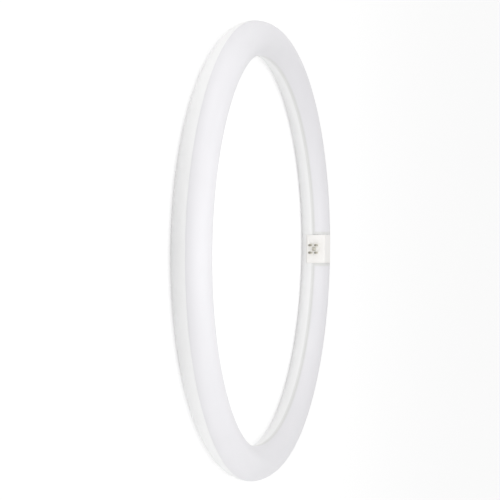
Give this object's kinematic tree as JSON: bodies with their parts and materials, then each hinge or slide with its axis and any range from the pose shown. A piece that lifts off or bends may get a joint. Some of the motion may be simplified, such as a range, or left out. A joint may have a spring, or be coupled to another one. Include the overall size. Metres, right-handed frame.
{
  "type": "circular led tube",
  "caption": "White plastic ring lamp: a milky front diffuser on an opaque back shell, with a base block of contact pins on its inner side.",
  "frame": {"origin": "centre of the ring, on the tube's middle plane", "axes": "+Z along the ring's axis towards the diffuser, +Y from the centre towards the base block"},
  "size_m": [0.4059, 0.406, 0.0306],
  "materials": {
    "shell_plastic": "smooth moulded, satin gloss, opaque white",
    "diffuser_plastic": "smooth moulded, milky white",
    "base_plastic": "smooth moulded, warm white",
    "pin_brass": "turned, dulled",
    "screw_steel": "zinc plated",
    "tray_aluminium": "rolled",
    "board_white": "white solder mask",
    "led_phosphor": "phosphor in clear resin",
    "tinned_link": "tinned",
    "driver_laminate": "green solder mask",
    "insulating_film": "translucent white film",
    "resistor_coat": "cement coat",
    "varistor_coat": "dipped resin",
    "capacitor_box": "moulded box",
    "black_epoxy": "moulded epoxy",
    "ferrite": "sintered",
    "winding_tape": "polyester tape",
    "capacitor_sleeve": "shrunk sleeve",
    "lead_white": "wire insulation",
    "lead_red": "wire insulation",
    "lead_black": "wire insulation"
  },
  "bodies": {
    "root": {"back_shell": "shell_plastic", "base_housing": "base_plastic", "base_screw": "screw_steel", "board_links": "tinned_link", "bridge_rectifier": "black_epoxy", "bulk_capacitor_1": "capacitor_sleeve", "bulk_capacitor_2": "capacitor_sleeve", "contact_pin_1": "pin_brass", "contact_pin_2": "pin_brass", "contact_pin_3": "pin_brass", "contact_pin_4": "pin_brass", "controller_chip": "black_epoxy", "driver_board": "driver_laminate", "driver_trough": "insulating_film", "front_diffuser": "diffuser_plastic", "fuse_resistor": "resistor_coat", "heat_spreader": "tray_aluminium", "input_capacitor": "capacitor_box", "insulation_sheet": "insulating_film", "led_board_1": "board_white", "led_board_2": "board_white", "led_board_3": "board_white", "led_board_4": "board_white", "led_packages_1": "led_phosphor", "led_packages_2": "led_phosphor", "led_packages_3": "led_phosphor", "led_packages_4": "led_phosphor", "output_choke": "capacitor_sleeve", "output_lead_1": "lead_red", "output_lead_2": "lead_black", "pin_lead_1": "lead_white", "pin_lead_2": "lead_white", "pin_lead_3": "lead_white", "pin_lead_4": "lead_white", "transformer_core": "ferrite", "transformer_winding": "winding_tape", "varistor": "varistor_coat"}
  },
  "joints": []
}
